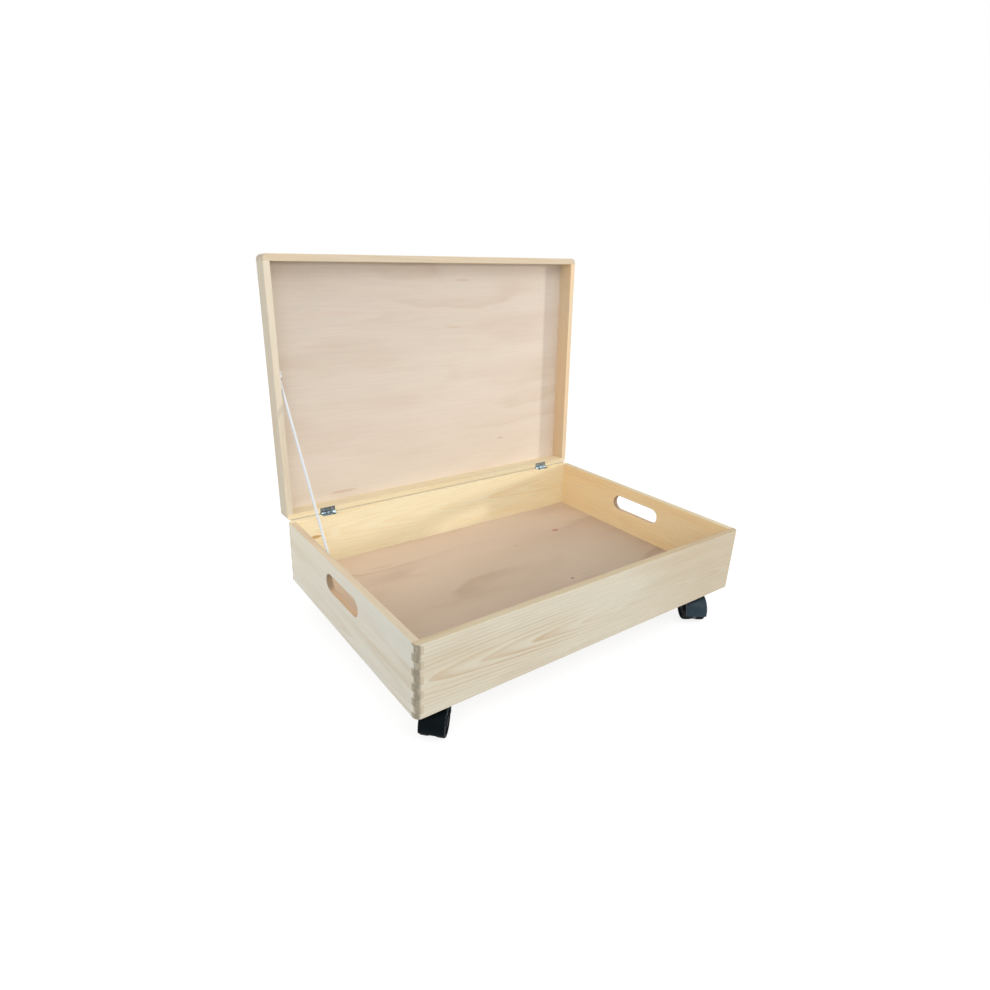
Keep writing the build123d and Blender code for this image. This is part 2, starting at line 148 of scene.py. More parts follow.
class NodeGraph:
    """The shader nodes of one material or world, made and joined by short calls."""

    def __init__(self, owner: bpy.types.Material | bpy.types.World) -> None:
        """Empty the owner's node tree.

        Args:
            owner: The material or world whose nodes are made here.
        """
        owner.use_nodes = True
        self.tree = owner.node_tree
        self.tree.nodes.clear()

    def node(self, kind: str, inputs: dict[str | int, Input] | None = None, **options: Any) -> bpy.types.Node:
        """Add a node.

        Args:
            kind: The node's type name.
            inputs: Values or sockets for its inputs, by name or place.
            **options: Settings of the node itself.

        Returns:
            The new node.
        """
        node = self.tree.nodes.new(kind)
        for name, value in options.items():
            setattr(node, name, value)
        for key, value in (inputs or {}).items():
            if isinstance(value, Socket):
                self.tree.links.new(value, node.inputs[key])
            else:
                node.inputs[key].default_value = value
        return node

    def math(self, operation: str, a: Input, b: Input = 0.0, c: Input = 0.0) -> Socket:
        """One sum on up to three numbers."""
        return self.node("ShaderNodeMath", {0: a, 1: b, 2: c}, operation=operation).outputs[0]

    def product(self, first: Input, *others: Input) -> Socket:
        """Numbers multiplied together.

        Args:
            first: The first number.
            *others: The other numbers.

        Returns:
            Their product.
        """
        for other in others:
            first = self.math("MULTIPLY", first, other)
        return first

    def far_from(self, value: Input, middle: float) -> Socket:
        """How far a value is from a middle."""
        return self.math("ABSOLUTE", self.math("SUBTRACT", value, middle))

    def split(self, vector: Input) -> Sequence[Socket]:
        """The three numbers of a vector."""
        return self.node("ShaderNodeSeparateXYZ", {0: vector}).outputs

    def join(self, x: Input, y: Input, z: Input) -> Socket:
        """A vector of three numbers."""
        return self.node("ShaderNodeCombineXYZ", {0: x, 1: y, 2: z}).outputs[0]

    def step(self, value: Input, low: float, high: float, to_low: float = 0.0,
             to_high: float = 1.0) -> Socket:
        """A smooth step, from `to_low` where the value is at most `low` to `to_high` past `high`."""
        inputs = {0: value, 1: low, 2: high, 3: to_low, 4: to_high}
        return self.node("ShaderNodeMapRange", inputs, interpolation_type="SMOOTHSTEP").outputs[0]

    def scale(self, vector: Input, factors: Sequence[float], shift: Sequence[float] = (0, 0, 0)) -> Socket:
        """A vector times one factor for each axis, plus a shift."""
        inputs = {0: vector, 1: tuple(factors), 2: tuple(shift)}
        return self.node("ShaderNodeVectorMath", inputs, operation="MULTIPLY_ADD").outputs[0]

    def noise(self, vector: Input, detail: float = 2.0, roughness: float = 0.5) -> Socket:
        """Smooth noise from 0 to 1 with a period of one unit, and `detail` finer layers."""
        inputs = {"Vector": vector, "Scale": 1.0, "Detail": detail, "Roughness": roughness}
        return self.node("ShaderNodeTexNoise", inputs).outputs[0]

    def mix(self, factor: Input, a: Input, b: Input, blend: str = "MIX") -> Socket:
        """A mix of two colours, where the factor says how much of the second one shows."""
        inputs = {0: factor, 6: self.opaque(a), 7: self.opaque(b)}
        return self.node("ShaderNodeMix", inputs, data_type="RGBA", blend_type=blend).outputs[2]

    @staticmethod
    def opaque(colour: Input) -> Input:
        """A colour with full alpha, or a socket as it is."""
        return colour if isinstance(colour, Socket) else (*colour, 1.0)

    def shaded(self, colour: Socket, shade: Socket, places: Sequence[Socket],
               painted_light_slopes: Sequence[float]) -> Socket:
        """A colour times a shade, with painted light and shade that changes evenly along some axes.

        Args:
            colour: The colour.
            shade: Its brightness where the places are 0.
            places: Place along each axis.
            painted_light_slopes: Painted light and shade: how much brighter it gets in a metre of each axis.

        Returns:
            The shaded colour.
        """
        for place, painted_light_slope in zip(places, painted_light_slopes):
            shade = self.math("MULTIPLY_ADD", place, painted_light_slope, shade)
        return self.mix(1.0, colour, self.join(shade, shade, shade), "MULTIPLY")

    def ramp(self, factor: Input, stops: Sequence[tuple[float, float]]) -> Socket:
        """A curve through grey stops.

        Args:
            factor: The value to read.
            stops: Place and height of each stop.

        Returns:
            The curve's height.
        """
        node = self.node("ShaderNodeValToRGB", {0: factor})
        elements = node.color_ramp.elements
        while len(elements) < len(stops):
            elements.new(0.5)
        for element, (place, height) in zip(elements, stops):
            element.position = place
            element.color = (height, height, height, 1.0)
        return node.outputs[0]

    def bump(self, height: Socket, strength: float, distance: float) -> Socket:
        """A normal bumped by a height, whose full step is `distance` metres."""
        inputs = {"Height": height, "Strength": strength, "Distance": distance}
        return self.node("ShaderNodeBump", inputs).outputs[0]

    def surface(self, inputs: dict[str | int, Input]) -> None:
        """Finish the material with a principled shader that has these inputs."""
        shader = self.node("ShaderNodeBsdfPrincipled", inputs)
        self.node("ShaderNodeOutputMaterial", {"Surface": shader.outputs[0]})


# Finishes

class GrainAxis(Enum):
    """Which way a board's fibres run, as order of (along, across, through) axes."""

    LENGTHWISE = (0, 2, 1)
    DEPTHWISE = (1, 2, 0)
    BATTEN = (1, 0, 2)


@dataclass(frozen=True)
class Knot:
    """A knot, swirl or mark on a face, as an ellipse."""

    along: float
    across: float
    half_length: float
    half_width: float
    colour: Colour = (0.42, 0.19, 0.075)
    strength: float = 0.8
    rings_pushed: float = 1.2

    def square(self, graph: NodeGraph, along: Socket, across: Socket) -> Socket:
        """Squared distance from the middle, where 1 is the ellipse.

        Args:
            graph: The material's nodes.
            along: Place along the fibres.
            across: Place across the face.

        Returns:
            The squared distance.
        """
        far = graph.math("DIVIDE", graph.math("SUBTRACT", along, self.along), self.half_length)
        wide = graph.math("DIVIDE", graph.math("SUBTRACT", across, self.across), self.half_width)
        return graph.math("ADD", graph.product(far, far), graph.product(wide, wide))


@dataclass(frozen=True)
class FingerJoint:
    """Where the glue lines of a frame's finger joints lie."""

    rim_z: float
    first: float
    outwards: int


BODY_FINGERS = FingerJoint(BODY_RIM_Z, 0.0034, -1)
LID_FINGERS = FingerJoint(LID_RIM_Z, 0.0080, 1)
LID_END = (0.62, 0.53, 0.39)
LID_WOOD: dict[str, Any] = {"corner": (0.50, 0.42, 0.31), "fingers": LID_FINGERS, "on_lid": True}


def lid_shut_place() -> tuple[Point, Point]:
    """Shift and Euler turn that take a point of the open lid to where it is when shut."""
    hinge = Vector((0, HINGE_Y, HINGE_Z))
    return tuple(hinge - Matrix.Rotation(OPEN_ANGLE, 3, "X") @ hinge), (OPEN_ANGLE, 0, 0)


def wood_place(graph: NodeGraph, on_lid: bool) -> tuple[Socket, Socket]:
    """Place and normal of a point on the wood, with the lid's wood read as if shut.

    Args:
        graph: The material's nodes.
        on_lid: Whether the piece turns with the lid.

    Returns:
        The place and the normal.
    """
    coordinates = graph.node("ShaderNodeTexCoord")
    place, normal = coordinates.outputs["Object"], coordinates.outputs["Normal"]
    if on_lid:
        shift, turn = lid_shut_place()
        shut = {"Vector": place, "Location": shift, "Rotation": turn}
        place = graph.node("ShaderNodeMapping", shut).outputs[0]
        normal = graph.node("ShaderNodeMapping", {"Vector": normal, "Rotation": turn}).outputs[0]
    return place, normal


def dimmed(colour: Colour, share: float) -> Colour:
    """A share of a colour."""
    return tuple(share * channel for channel in colour)


@dataclass(frozen=True)
class Finish:
    """A material, whose nodes are laid out by each kind of finish."""

    name: str

    def paint(self, graph: NodeGraph) -> None:
        """Lay out the material's nodes in its graph."""
        raise NotImplementedError

    def make(self) -> bpy.types.Material:
        """Make the material.

        Returns:
            The material.
        """
        material = bpy.data.materials.new(self.name)
        self.paint(NodeGraph(material))
        return material


@dataclass(frozen=True)
class PineFinish(Finish):
    """Planed pine with growth rings about a leaning pith line, fibres and end grain.

    The colours are linear. `calm` and `warm` give where along the board they start and
    end, and then the ring contrast that is left, or the share of late colour that is mixed in.
    """

    grain: GrainAxis
    pith: tuple[float, float]
    drift: tuple[float, float]
    seed: float
    ring: float = 0.0042
    pale: Colour = (0.60, 0.535, 0.405)
    late: Colour = (0.55, 0.405, 0.235)
    sapwood: Colour = (0.59, 0.585, 0.485)
    end: Colour = (0.44, 0.38, 0.275)
    corner: Colour = (0.26, 0.225, 0.17)
    contrast: float = 0.75
    streaks: float = 0.35
    wobble: float = 0.0024
    # Painted light and shade that changes evenly along and across the board
    painted_light_slope: tuple[float, float] = (0.0, 0.0)
    calm: tuple[float, float, float] = (1.0, 2.0, 1.0)
    warm: tuple[float, float, float] = (1.0, 2.0, 0.0)
    # Colour that multiplies faces pointing up or down: partly the planed rims' own colour, partly painted
    # light
    rim: Colour = (1.0, 1.0, 1.0)
    slot: Colour | None = None
    # Whether a line of painted shade runs along the hinge axis
    seam: bool = False
    knots: tuple[Knot, ...] = ()
    fingers: FingerJoint | None = None
    on_lid: bool = False

    def rings(self, graph: NodeGraph, along: Socket, across: Socket, through: Socket, bent: Socket) -> Socket:
        """Count of growth rings out from the pith.

        Args:
            graph: The material's nodes.
            along: Place along the fibres.
            across: Place across the face.
            through: Place through the board.
            bent: Slow noise that bends the rings.

        Returns:
            The ring count, whose whole part numbers the ring.
        """
        squares = []
        for value, start, lean in zip((across, through), self.pith, self.drift):
            side = graph.math("SUBTRACT", value, graph.math("MULTIPLY_ADD", along, lean, start))
            squares.append(graph.product(side, side))
        radius = graph.math("SQRT", graph.math("ADD", *squares))
        radius = graph.math("MULTIPLY_ADD", bent, self.wobble, radius)
        return graph.math("DIVIDE", radius, self.ring)

    def joint_marks(self, graph: NodeGraph, place: Socket, normal: Socket,
                    end_grain: Socket) -> tuple[Socket, Socket]:
        """Glue lines round the fingers, and how rounded the corner is that they meet on.

        Args:
            graph: The material's nodes.
            place: Place of the point.
            normal: Normal at the point.
            end_grain: How much end grain shows there.

        Returns:
            1 on a line, and 1 at the middle of the corner's rounding.
        """
        joint = self.fingers
        x, y, z = graph.split(place)
        past_x = graph.math("SUBTRACT", graph.math("ABSOLUTE", x), HALF_LENGTH - BOARD)
        past_y = graph.math("SUBTRACT", graph.far_from(y, MIDDLE_Y), HALF_DEPTH - BOARD)
        in_corner = graph.math("GREATER_THAN", graph.math("MINIMUM", past_x, past_y), -CORNER_SLACK)
        first_at = joint.outwards * joint.rim_z + joint.first
        from_first = graph.math("MULTIPLY_ADD", z, joint.outwards, -first_at)
        share = graph.math("FRACT", graph.math("DIVIDE", from_first, FINGER_PITCH))
        to_line = graph.product(graph.math("PINGPONG", share, 0.5), FINGER_PITCH)
        flat = graph.product(graph.step(to_line, *GLUE_LINE, 1.0, 0.0), in_corner)
        inner = past_y if self.grain is GrainAxis.LENGTHWISE else past_x
        upright = graph.step(graph.math("ABSOLUTE", inner), *GLUE_LINE, 1.0, 0.0)
        lines = graph.math("MAXIMUM", flat, graph.product(upright, end_grain))
        turn_x, turn_y, _ = graph.split(normal)
        both = graph.math("ABSOLUTE", graph.product(turn_x, turn_y))
        return lines, graph.product(graph.step(both, 0.04, 0.42), in_corner)

    def slot_mark(self, graph: NodeGraph, place: Socket, normal: Socket, colour: Socket) -> Socket:
        """The routed walls of a hand slot, warmer than the faces, with painted shade darkening them toward
        the back end.

        Args:
            graph: The material's nodes.
            place: Place of the point.
            normal: Normal at the point.
            colour: Colour of the board.

        Returns:
            The colour with the slot's walls.
        """
        _, y, z = graph.split(place)
        turn_x = graph.split(normal)[0]
        inside = graph.product(graph.step(graph.far_from(y, MIDDLE_Y), *SLOT_ENDS, 1.0, 0.0),
                               graph.step(z, *SLOT_TOP, 1.0, 0.0), graph.step(z, *SLOT_BOTTOM),
                               graph.step(graph.math("ABSOLUTE", turn_x), 0.45, 0.85, 0.85, 0.0))
        # Painted shade: the walls darken toward the slot's back end
        routed = graph.mix(graph.step(y, *SLOT_SHADE_SPAN, 0.0, 0.8), self.slot, dimmed(self.slot, 0.35))
        return graph.mix(inside, colour, routed)

    def painted_seam_shade(self, graph: NodeGraph, place: Socket) -> Socket:
        """Painted shade along the hinge axis, a dark line where the lid and the box meet.

        Args:
            graph: The material's nodes.
            place: Place of the point.

        Returns:
            How much painted shade the point gets.
        """
        _, y, z = graph.split(place)
        from_axis = graph.math("MAXIMUM", graph.far_from(y, HINGE_Y), graph.far_from(z, HINGE_Z))
        return graph.step(from_axis, *SEAM_SHADE_SPAN, 0.45, 0.0)

    def late_wood(self, graph: NodeGraph, board: Socket, along: Socket, count: Socket) -> Socket:
        """How dark the late wood of the growth rings is.

        Args:
            graph: The material's nodes.
            board: Place in the board, along, across and through it.
            along: Place along the fibres.
            count: The ring count.

        Returns:
            The darkness.
        """
        late = graph.ramp(graph.math("FRACT", count), RING_CURVE)
        which = graph.math("FLOOR", count)
        strength = graph.node("ShaderNodeTexWhiteNoise", {"W": which}, noise_dimensions="1D").outputs[0]
        strength = graph.math("MULTIPLY_ADD", graph.product(strength, strength), 0.55, 0.45)
        strength = graph.product(strength, graph.step(count, 3.0, 9.0, 1.0, 0.6))
        strength = graph.math("MAXIMUM", strength, graph.step(count, 5.0, 6.0, 0.95, 0.0))
        patches = graph.noise(graph.scale(board, STRONG_PATCHES, (self.seed, self.seed, 4.0)))
        start, end, rest = self.calm
        return graph.product(late, strength, graph.step(patches, 0.34, 0.60, 0.5, 1.0),
                             graph.step(along, start, end, self.contrast, self.contrast * rest))

    def knot_discs(self, graph: NodeGraph, colour: Socket, fibres: Socket,
                   distances: Iterable[tuple[Knot, Socket]]) -> Socket:
        """Lay the knots over the wood, each with rings and a halo.

        Args:
            graph: The material's nodes.
            colour: Colour of the wood.
            fibres: The fibre noise, which makes the edges ragged.
            distances: The knots and the distances from them.

        Returns:
            The colour with the knots.
        """
        for knot, distance in distances:
            ragged = graph.math("MULTIPLY_ADD", fibres, 0.5, distance)
            colour = graph.mix(graph.step(ragged, 1.2, 3.2, 0.4 * knot.strength, 0.0), colour, self.late)
            rings = graph.math("PINGPONG", graph.product(distance, 2.2), 0.5)
            core = graph.mix(rings, knot.colour, dimmed(knot.colour, 0.45))
            colour = graph.mix(graph.step(ragged, 1.05, 1.45, knot.strength, 0.0), colour, core)
        return colour

    def paint(self, graph: NodeGraph) -> None:
        """Lay out the rings, streaks, fibres, knots, end grain and marks.

        Args:
            graph: The material's nodes.
        """
        place, normal = wood_place(graph, self.on_lid)
        axes = graph.split(place)
        along, across, through = (axes[index] for index in self.grain.value)
        board = graph.join(along, across, through)

        bent = graph.noise(graph.scale(board, BENDS, (self.seed, 0, self.seed)), 2.0, 0.45)
        count = self.rings(graph, along, across, through, bent)
        distances = []
        for knot in self.knots:
            square = knot.square(graph, along, across)
            falloff = graph.math("EXPONENT", graph.product(square, -0.10))
            count = graph.math("MULTIPLY_ADD", falloff, knot.rings_pushed, count)
            distances.append((knot, graph.math("SQRT", square)))
        shiver = graph.noise(graph.scale(board, SHIVERS, (0, self.seed, 0)))
        count = graph.math("MULTIPLY_ADD", shiver, 0.40, count)
        late = self.late_wood(graph, board, along, count)

        colour = graph.mix(graph.step(bent, 0.42, 0.66, 0.0, self.streaks), self.pale, self.sapwood)
        colour = graph.mix(late, colour, self.late)
        warmth = graph.noise(graph.scale(board, WARM_STREAKS, (self.seed, 7.0, 0)))
        colour = graph.mix(graph.step(warmth, 0.50, 0.76, 0.0, self.streaks), colour, self.late)
        start, end, share = self.warm
        colour = graph.mix(graph.step(along, start, end, 0.0, share), colour, self.late)

        fibres = graph.noise(graph.scale(board, FIBRES, (self.seed, 0, 0)), 3.0, 0.6)
        fine = graph.math("MULTIPLY_ADD", graph.noise(graph.scale(board, HAIRS), 1.0), 0.35, fibres)
        # Fibre shading, and painted light and shade that changes evenly along and across the board
        colour = graph.shaded(colour, graph.step(fine, 0.40, 1.0, 0.93, 1.04), (along, across), self.painted_light_slope)
        colour = self.knot_discs(graph, colour, fibres, distances)

        facing = graph.math("ABSOLUTE", graph.split(normal)[self.grain.value[0]])
        end_grain = graph.step(facing, 0.35, 0.62)
        pores = graph.noise(graph.scale(board, END_PORES), 1.0)
        dots = graph.math("MULTIPLY_ADD", pores, 0.5, graph.product(late, 0.9))
        end_colour = graph.mix(graph.step(dots, 0.15, 0.85), self.end, dimmed(self.end, 0.78))
        colour = graph.mix(end_grain, colour, end_colour)
        # Faces pointing up or down take the rim colour: partly the planed edge's own colour, partly painted
        # light on the rims
        upward = graph.math("ABSOLUTE", graph.split(normal)[2])
        colour = graph.mix(graph.step(upward, 0.6, 0.9), colour, graph.mix(1.0, colour, self.rim, "MULTIPLY"))
        if self.slot:
            colour = self.slot_mark(graph, place, normal, colour)
        # Painted shade: a dark line along the seam between lid and box
        if self.seam:
            colour = graph.mix(self.painted_seam_shade(graph, place), colour, SEAM_SHADE_COLOUR)
        if self.fingers:
            lines, rounding = self.joint_marks(graph, place, normal, end_grain)
            grime = graph.noise(graph.scale(place, CORNER_GRIME, (self.seed, 0, 0)))
            dirt = graph.product(rounding, graph.step(grime, 0.30, 0.64, 0.35, 0.95))
            colour = graph.mix(dirt, colour, self.corner)
            colour = graph.mix(graph.product(lines, 0.38), colour, GLUE_COLOUR)

        height = graph.math("MULTIPLY_ADD", late, 0.5, fine)
        rough = graph.math("MULTIPLY_ADD", fibres, 0.18, graph.math("MULTIPLY_ADD", late, -0.08, 0.55))
        graph.surface({"Base Color": colour, "Roughness": rough, "Normal": graph.bump(height, 0.35, 0.00018),
                       "Specular IOR Level": 0.32})


@dataclass(frozen=True)
class PlywoodFinish(Finish):
    """Rotary-cut veneer with soft wavy figure, short pores and a few marks."""

    seed: float
    pale: Colour
    dark: Colour
    figure: float
    # Painted light and shade that changes evenly along and across the panel
    painted_light_slope: tuple[float, float] = (0.0, 0.0)
    swirls: tuple[Knot, ...] = ()
    marks: tuple[Knot, ...] = ()
    veneer_shift: float = 3.7
    on_lid: bool = False

    def paint(self, graph: NodeGraph) -> None:
        """Lay out the bands, pores and fibres, with the marks and swirls on the inside veneer.

        Args:
            graph: The material's nodes.
        """
        place, normal = wood_place(graph, self.on_lid)
        along, across, height = graph.split(place)
        down = (1.0, 0.0) if self.on_lid else (0.0, 1.0)
        inside = graph.step(graph.split(normal)[2], -0.5, 0.5, *down)
        height = graph.math("ADD", height, self.veneer_shift)
        place = graph.join(along, across, graph.math("MULTIPLY_ADD", inside, -self.veneer_shift, height))

        slow = graph.noise(graph.scale(place, VENEER_WAVES, (self.seed, 0, 0)), 2.5)
        level = graph.math("MULTIPLY_ADD", slow, 4.2, graph.product(across, 7.0))
        for swirl in self.swirls:
            fading = graph.math("EXPONENT", graph.product(swirl.square(graph, along, across), -1))
            level = graph.math("MULTIPLY_ADD", graph.product(fading, inside), swirl.rings_pushed, level)
        quick = graph.noise(graph.scale(place, VENEER_RIPPLES, (0, self.seed, 0)), 3.0, 0.6)
        level = graph.math("MULTIPLY_ADD", quick, 0.40, level)
        patches = graph.noise(graph.scale(place, VENEER_PATCHES, (self.seed, self.seed, 2.0)))
        band = graph.product(graph.ramp(graph.math("FRACT", level), BAND_CURVE),
                             graph.step(patches, 0.38, 0.62, 0.05, 1.0), self.figure)
        clouds = graph.noise(graph.scale(place, VENEER_CLOUDS, (self.seed, 9.0, 0)))
        colour = graph.mix(graph.step(clouds, 0.42, 0.72, 0.0, 0.3),
                           graph.mix(band, self.pale, self.dark), self.dark)

        pores = graph.noise(graph.scale(place, VENEER_PORES, (0, self.seed, 0)), 2.0, 0.7)
        dashes = graph.step(pores, 0.60, 0.72)
        fibres = graph.noise(graph.scale(place, VENEER_FIBRES, (self.seed, 0, 0)))
        shade = graph.math("MULTIPLY_ADD", dashes, -0.08, graph.step(fibres, 0.3, 0.7, 0.97, 1.015))
        # Pore and fibre shading, and painted light and shade that changes evenly along and across the panel
        colour = graph.shaded(colour, shade, (along, across), self.painted_light_slope)
        for mark in self.marks:
            distance = graph.math("SQRT", mark.square(graph, along, across))
            ragged = graph.math("MULTIPLY_ADD", quick, 0.8, distance)
            shown = graph.product(graph.step(ragged, 0.85, 1.5, mark.strength, 0.0), inside)
            colour = graph.mix(shown, colour, mark.colour)
        relief = graph.math("MULTIPLY_ADD", dashes, -0.6, fibres)
        graph.surface({"Base Color": colour, "Roughness": graph.math("MULTIPLY_ADD", fibres, 0.15, 0.50),
                       "Normal": graph.bump(relief, 0.3, 0.00015), "Specular IOR Level": 0.35})


@dataclass(frozen=True)
class ZincFinish(Finish):
    """Bright zinc plate on pressed steel, slightly blue and worn in patches."""

    # The default tint is kept dark and blue, a painted dark reflection
    tint: Colour = (0.30, 0.37, 0.42)
    roughness: float = 0.26
    spangle: float = 260.0
    dulled: float = 0.45

    def paint(self, graph: NodeGraph) -> None:
        """Lay out the spangle and the brush marks.

        Args:
            graph: The material's nodes.
        """
        place = graph.node("ShaderNodeTexCoord").outputs["Object"]
        spangle = graph.noise(graph.scale(place, (self.spangle, self.spangle, self.spangle)), 3.0, 0.6)
        brush = graph.noise(graph.scale(place, BRUSH_MARKS))
        dull = graph.step(spangle, 0.42, 0.60, 0.0, 0.9)
        colour = graph.mix(dull, self.tint, dimmed(self.tint, self.dulled))
        rough = graph.math("MULTIPLY_ADD", spangle, 0.22, self.roughness)
        graph.surface({"Base Color": colour, "Metallic": 1.0, "Roughness": rough,
                       "Normal": graph.bump(graph.math("ADD", spangle, brush), 0.25, 0.00005)})


@dataclass(frozen=True)
class PlasticFinish(Finish):
    """Moulded black nylon with a fine texture, dust and scuffs."""

    # The blacks here and in the castor set are the nylon's own; their blue tint is a painted reflection of a
    # bluish sheen
    colour: Colour = (0.0012, 0.0040, 0.0050)
    # Colour of dust and scuffs; on the front right hood it is painted sheen
    worn: Colour = (0.006, 0.012, 0.015)
    roughness: float = 0.36
    shine: float = 0.05

    def paint(self, graph: NodeGraph) -> None:
        """Lay out the dust, the stipple and the scuffs.

        Args:
            graph: The material's nodes.
        """
        place = graph.node("ShaderNodeTexCoord").outputs["Object"]
        dust = graph.noise(graph.scale(place, PLASTIC_DUST), 4.0, 0.6)
        stipple = graph.noise(graph.scale(place, PLASTIC_STIPPLE), 1.0)
        scuffs = graph.noise(graph.scale(place, PLASTIC_SCUFFS), 2.0, 0.7)
        worn = graph.product(graph.step(dust, 0.45, 0.75), graph.step(scuffs, 0.45, 0.7), 0.7)
        graph.surface({"Base Color": graph.mix(worn, self.colour, self.worn),
                       "Roughness": graph.math("MULTIPLY_ADD", dust, 0.20, self.roughness),
                       "Normal": graph.bump(stipple, 0.25, 0.00008), "Specular IOR Level": self.shine})


@dataclass(frozen=True)
class CordFinish(Finish):
    """White braided cord, with painted shade in the hollows between its strands."""

    strands: int
    lay: float
    colour: Colour = (0.68, 0.71, 0.74)
    # Colour of the painted shade between strands
    dip_shade: Colour = (0.46, 0.49, 0.53)

    def paint(self, graph: NodeGraph) -> None:
        """Lay out the braid on the tube's own UV map, which is in turns and metres.

        Args:
            graph: The material's nodes.
        """
        place = graph.node("ShaderNodeUVMap", uv_map="UVMap").outputs[0]
        around, along, _ = graph.split(place)
        turns = graph.product(around, self.strands * math.tau)
        climb = graph.product(along, math.tau * self.strands / self.lay)
        one, other = (graph.math("COSINE", graph.math(way, turns, climb)) for way in ("ADD", "SUBTRACT"))
        raised = graph.math("MAXIMUM", one, other)
        threads = graph.noise(graph.scale(place, CORD_THREADS))
        # Painted shade in the hollows between the strands
        colour = graph.mix(graph.step(raised, -0.6, 0.5), self.dip_shade, self.colour)
        colour = graph.mix(graph.step(threads, 0.35, 0.65, 0.12, 0.0), colour, self.dip_shade)
        graph.surface({"Base Color": colour, "Roughness": graph.math("MULTIPLY_ADD", threads, 0.15, 0.5),
                       "Normal": graph.bump(graph.math("ADD", raised, threads), 0.3, 0.0001),
                       "Sheen Weight": 0.15})


# Mesh tools

def new_piece(name: str, mesh: bmesh.types.BMesh, place: Matrix | None = None) -> bpy.types.Object:
    """Make an object at the origin from a finished bmesh.

    Args:
        name: The piece's name.
        mesh: Its mesh, which is freed here.
        place: Where the mesh goes.

    Returns:
        The object.
    """
    if place is not None:
        bmesh.ops.transform(mesh, matrix=place, verts=mesh.verts)
    bmesh.ops.remove_doubles(mesh, verts=mesh.verts, dist=MERGE_DISTANCE)
    bmesh.ops.recalc_face_normals(mesh, faces=mesh.faces)
    for face in mesh.faces:
        face.smooth = True
    data = bpy.data.meshes.new(name)
    mesh.to_mesh(data)
    mesh.free()
    data.set_sharp_from_angle(angle=SMOOTH_LIMIT)
    piece = bpy.data.objects.new(name, data)
    bpy.context.scene.collection.objects.link(piece)
    return piece


def turned_profile(mesh: bmesh.types.BMesh, profile: Sequence[tuple[float, float]], steps: int) -> None:
    """Turn a profile that starts and ends on the local Z axis about that axis.

    Args:
        mesh: The bmesh that takes the shape.
        profile: Radius and height of each corner.
        steps: Number of steps in the turn.
    """
    corners = [mesh.verts.new((radius, 0, height)) for radius, height in profile]
    edges = [mesh.edges.new(pair) for pair in zip(corners, corners[1:])]
    bmesh.ops.spin(mesh, geom=[*corners, *edges], cent=(0, 0, 0), axis=(0, 0, 1), dvec=(0, 0, 0),
                   angle=math.tau, steps=steps, use_merge=True, use_normal_flip=False, use_duplicate=False)


def route_points(name: str, route: Iterable[Sequence[float]], steps: int) -> list[Vector]:
    """Points along the NURBS spline of a route.

    Args:
        name: Name for the spline's curve.
        route: The spline's control points.
        steps: Steps for each control point.

    Returns:
        The points in order.
    """
    curve = bpy.data.curves.new(name, "CURVE")
    curve.dimensions = "3D"
    curve.resolution_u = steps
    spline = curve.splines.new("NURBS")
    corners = list(route)
    spline.points.add(len(corners) - 1)
    for point, corner in zip(spline.points, corners):
        point.co = (*corner, 1.0)
    spline.order_u = 3
    spline.use_endpoint_u = True
    carrier = bpy.data.objects.new(name, curve)
    line = bpy.data.meshes.new_from_object(carrier)
    points = [vertex.co.copy() for vertex in line.vertices]
    bpy.data.objects.remove(carrier)
    bpy.data.curves.remove(curve)
    bpy.data.meshes.remove(line)
    return points


def add_tube(mesh: bmesh.types.BMesh, points: Sequence[Vector], sides: int,
             radius: Callable[[float, float], float]) -> None:
    """Add a closed tube that follows points, with UVs in turns and metres.

    Args:
        mesh: The bmesh that takes the tube.
        points: The points that the tube's middle follows.
        sides: Faces round the tube.
        radius: Gives the radius at a turn from 0 to 1 and a length along the tube.
    """
    layer = mesh.loops.layers.uv.verify()
    frames, run = [], 0.0
    side = (points[1] - points[0]).orthogonal()
    for index, point in enumerate(points):
        behind, ahead = points[max(index - 1, 0)], points[min(index + 1, len(points) - 1)]
        heading = (ahead - behind).normalized()
        side = (side - heading * side.dot(heading)).normalized()
        run += (point - points[max(index - 1, 0)]).length
        frames.append((point, side, heading.cross(side), run))
    grid = bmesh.ops.create_grid(mesh, x_segments=len(points) - 1, y_segments=sides, size=0.5)["verts"]
    spots = {}
    for vert in grid:
        turn = vert.co.y + 0.5
        point, side, up, run = frames[round((vert.co.x + 0.5) * (len(points) - 1))]
        spots[vert] = (turn, run)
        out = side * math.cos(turn * math.tau) + up * math.sin(turn * math.tau)
        vert.co = point + out * radius(turn % 1.0, run)
    for face in {face for vert in grid for face in vert.link_faces}:
        for loop in face.loops:
            loop[layer].uv = spots[loop.vert]
    bmesh.ops.remove_doubles(mesh, verts=grid, dist=MERGE_DISTANCE)
    rims = [edge for edge in mesh.edges if edge.is_boundary]
    bmesh.ops.holes_fill(mesh, edges=rims, sides=0)


